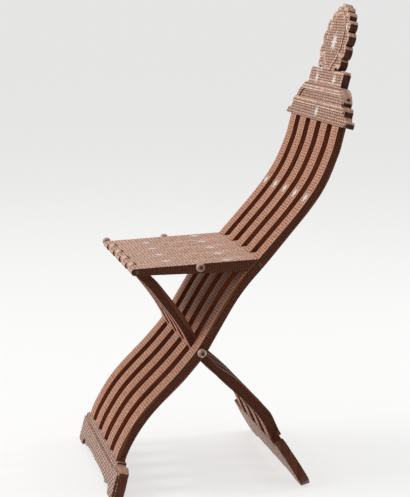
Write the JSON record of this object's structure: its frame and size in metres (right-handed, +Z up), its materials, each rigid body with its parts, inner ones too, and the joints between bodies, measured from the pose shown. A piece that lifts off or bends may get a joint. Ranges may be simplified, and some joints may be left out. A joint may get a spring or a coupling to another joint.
{
  "type": "savonarola chair",
  "caption": "Folding armless chair of crossed curved slats with an interleaved slat seat, a lobed crest board, scrolled feet and pearl star inlay.",
  "frame": {"origin": "On the floor, below the middle of the chair's bounding box as it stands open.", "axes": "Right-handed. X runs across the chair, from the sitter's right to the left. The sitter faces -Y. Z is up."},
  "size_m": [0.4904, 0.5514, 0.9651],
  "materials": {
    "slat_wood": "satin walnut inlaid with fine light geometric lines",
    "carved_wood": "satin walnut with low geometric carving",
    "turned_wood": "polished dark turned wood",
    "pearl": null
  },
  "bodies": {
    "back_frame": {"back_slat_1": "slat_wood", "back_slat_2": "slat_wood", "back_slat_3": "slat_wood", "back_slat_4": "slat_wood", "back_slat_5": "slat_wood", "back_inlays": "pearl", "crest_rail": "carved_wood", "crest_finial": "carved_wood", "front_foot": "carved_wood", "crossing_rod": "turned_wood", "crossing_knobs": "turned_wood", "rear_rod": "turned_wood"},
    "leg_frame": {"leg_slat_1": "slat_wood", "leg_slat_2": "slat_wood", "leg_slat_3": "slat_wood", "leg_slat_4": "slat_wood", "rear_foot": "carved_wood", "front_pin": "turned_wood"},
    "seat_front": {"seat_front_slat_1": "slat_wood", "seat_front_slat_2": "slat_wood", "seat_front_slat_3": "slat_wood", "seat_front_slat_4": "slat_wood", "seat_front_slat_5": "slat_wood", "mid_rod": "turned_wood", "mid_knobs": "turned_wood", "seat_front_inlays": "pearl"},
    "seat_rear": {"seat_rear_slat_1": "slat_wood", "seat_rear_slat_2": "slat_wood", "seat_rear_slat_3": "slat_wood", "seat_rear_slat_4": "slat_wood", "seat_rear_inlays": "pearl"}
  },
  "joints": [
    {"name": "leg_fold", "type": "hinge", "parent": "back_frame", "child": "leg_frame", "pos_m": [0, -0.08419, 0.27999], "axis": [-1, 0, 0], "range_deg": [0, 60]},
    {"name": "seat_front_fold", "type": "hinge", "parent": "leg_frame", "child": "seat_front", "pos_m": [0, -0.2115, 0.44497], "axis": [1, 0, 0], "range_deg": [0, 108.83]},
    {"name": "seat_rear_fold", "type": "hinge", "parent": "seat_front", "child": "seat_rear", "pos_m": [0, -0.08725, 0.45297], "axis": [-1, 0, 0], "range_deg": [0, 154.16]}
  ],
  "couplings": [
    {"joint": "seat_front_fold", "follows": "leg_fold", "ratio": 1.8138},
    {"joint": "seat_rear_fold", "follows": "leg_fold", "ratio": 2.5692}
  ]
}
